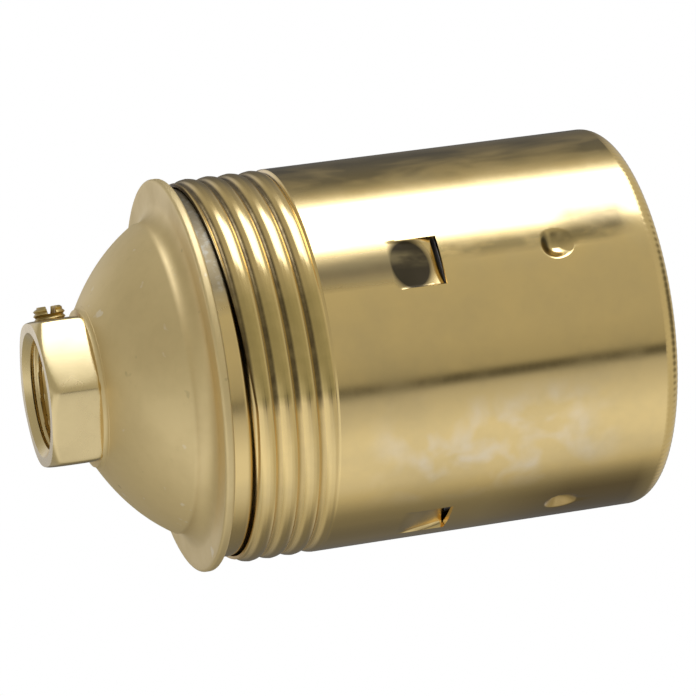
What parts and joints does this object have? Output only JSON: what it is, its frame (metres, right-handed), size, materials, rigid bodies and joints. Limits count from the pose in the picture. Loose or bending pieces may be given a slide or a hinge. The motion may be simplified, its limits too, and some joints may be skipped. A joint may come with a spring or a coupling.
{
  "type": "lamp holder",
  "caption": "Brass Edison-screw lamp holder with a plain screwed skirt, porcelain interior, hexagonal neck with a threaded entry and a side locking screw.",
  "frame": {"origin": "centre of the mouth's rim, in the plane that the holder stands on", "axes": "+Z along the holder's axis from the open mouth to the threaded entry, +X towards the locking screw"},
  "size_m": [0.0408, 0.0408, 0.0628],
  "materials": {
    "polished_brass": "polished, thinly lacquered",
    "rolled_brass": "rolled sheet, polished, lightly stained",
    "sleeve_brass": "bright rolled sheet",
    "screw_brass": "machined",
    "spring_brass": "cold rolled",
    "porcelain": "glazed"
  },
  "bodies": {
    "cap": {"cap": "polished_brass", "earth_screw": "screw_brass", "earth_washer": "screw_brass"},
    "locking_screw": {"locking_screw": "screw_brass"},
    "interior": {"terminal_block": "porcelain", "threaded_sleeve": "sleeve_brass", "sleeve_screw_1": "screw_brass", "sleeve_nut": "screw_brass", "sleeve_screw_2": "screw_brass", "contact_screw": "screw_brass", "live_terminal": "screw_brass", "live_terminal_screw": "screw_brass", "neutral_terminal": "screw_brass", "neutral_terminal_screw": "screw_brass"},
    "centre_contact": {"centre_contact": "spring_brass"},
    "shell": {"shell": "rolled_brass", "mouth_liner": "porcelain"}
  },
  "joints": [
    {"name": "interior_slide", "type": "slide", "parent": "cap", "child": "interior", "axis": [0, 0, -1], "range_m": [0, 0.009]},
    {"name": "shell_turn", "type": "hinge", "parent": "interior", "child": "shell", "pos_m": [0, 0, 0.02], "axis": [0, 0, -1], "range_deg": [0, 1440]},
    {"name": "locking_screw_slide", "type": "slide", "parent": "cap", "child": "locking_screw", "axis": [-1, 0, 0], "range_m": [0, 0.0013]},
    {"name": "contact_spring", "type": "hinge", "parent": "interior", "child": "centre_contact", "pos_m": [0.0076, 0, 0.02705], "axis": [0, 1, 0], "range_deg": [0, 5], "stiffness_Nm_per_rad": 0.06}
  ],
  "couplings": [
    {"joint": "shell_turn", "follows": "interior_slide", "rad_per_m": 2792.5}
  ]
}
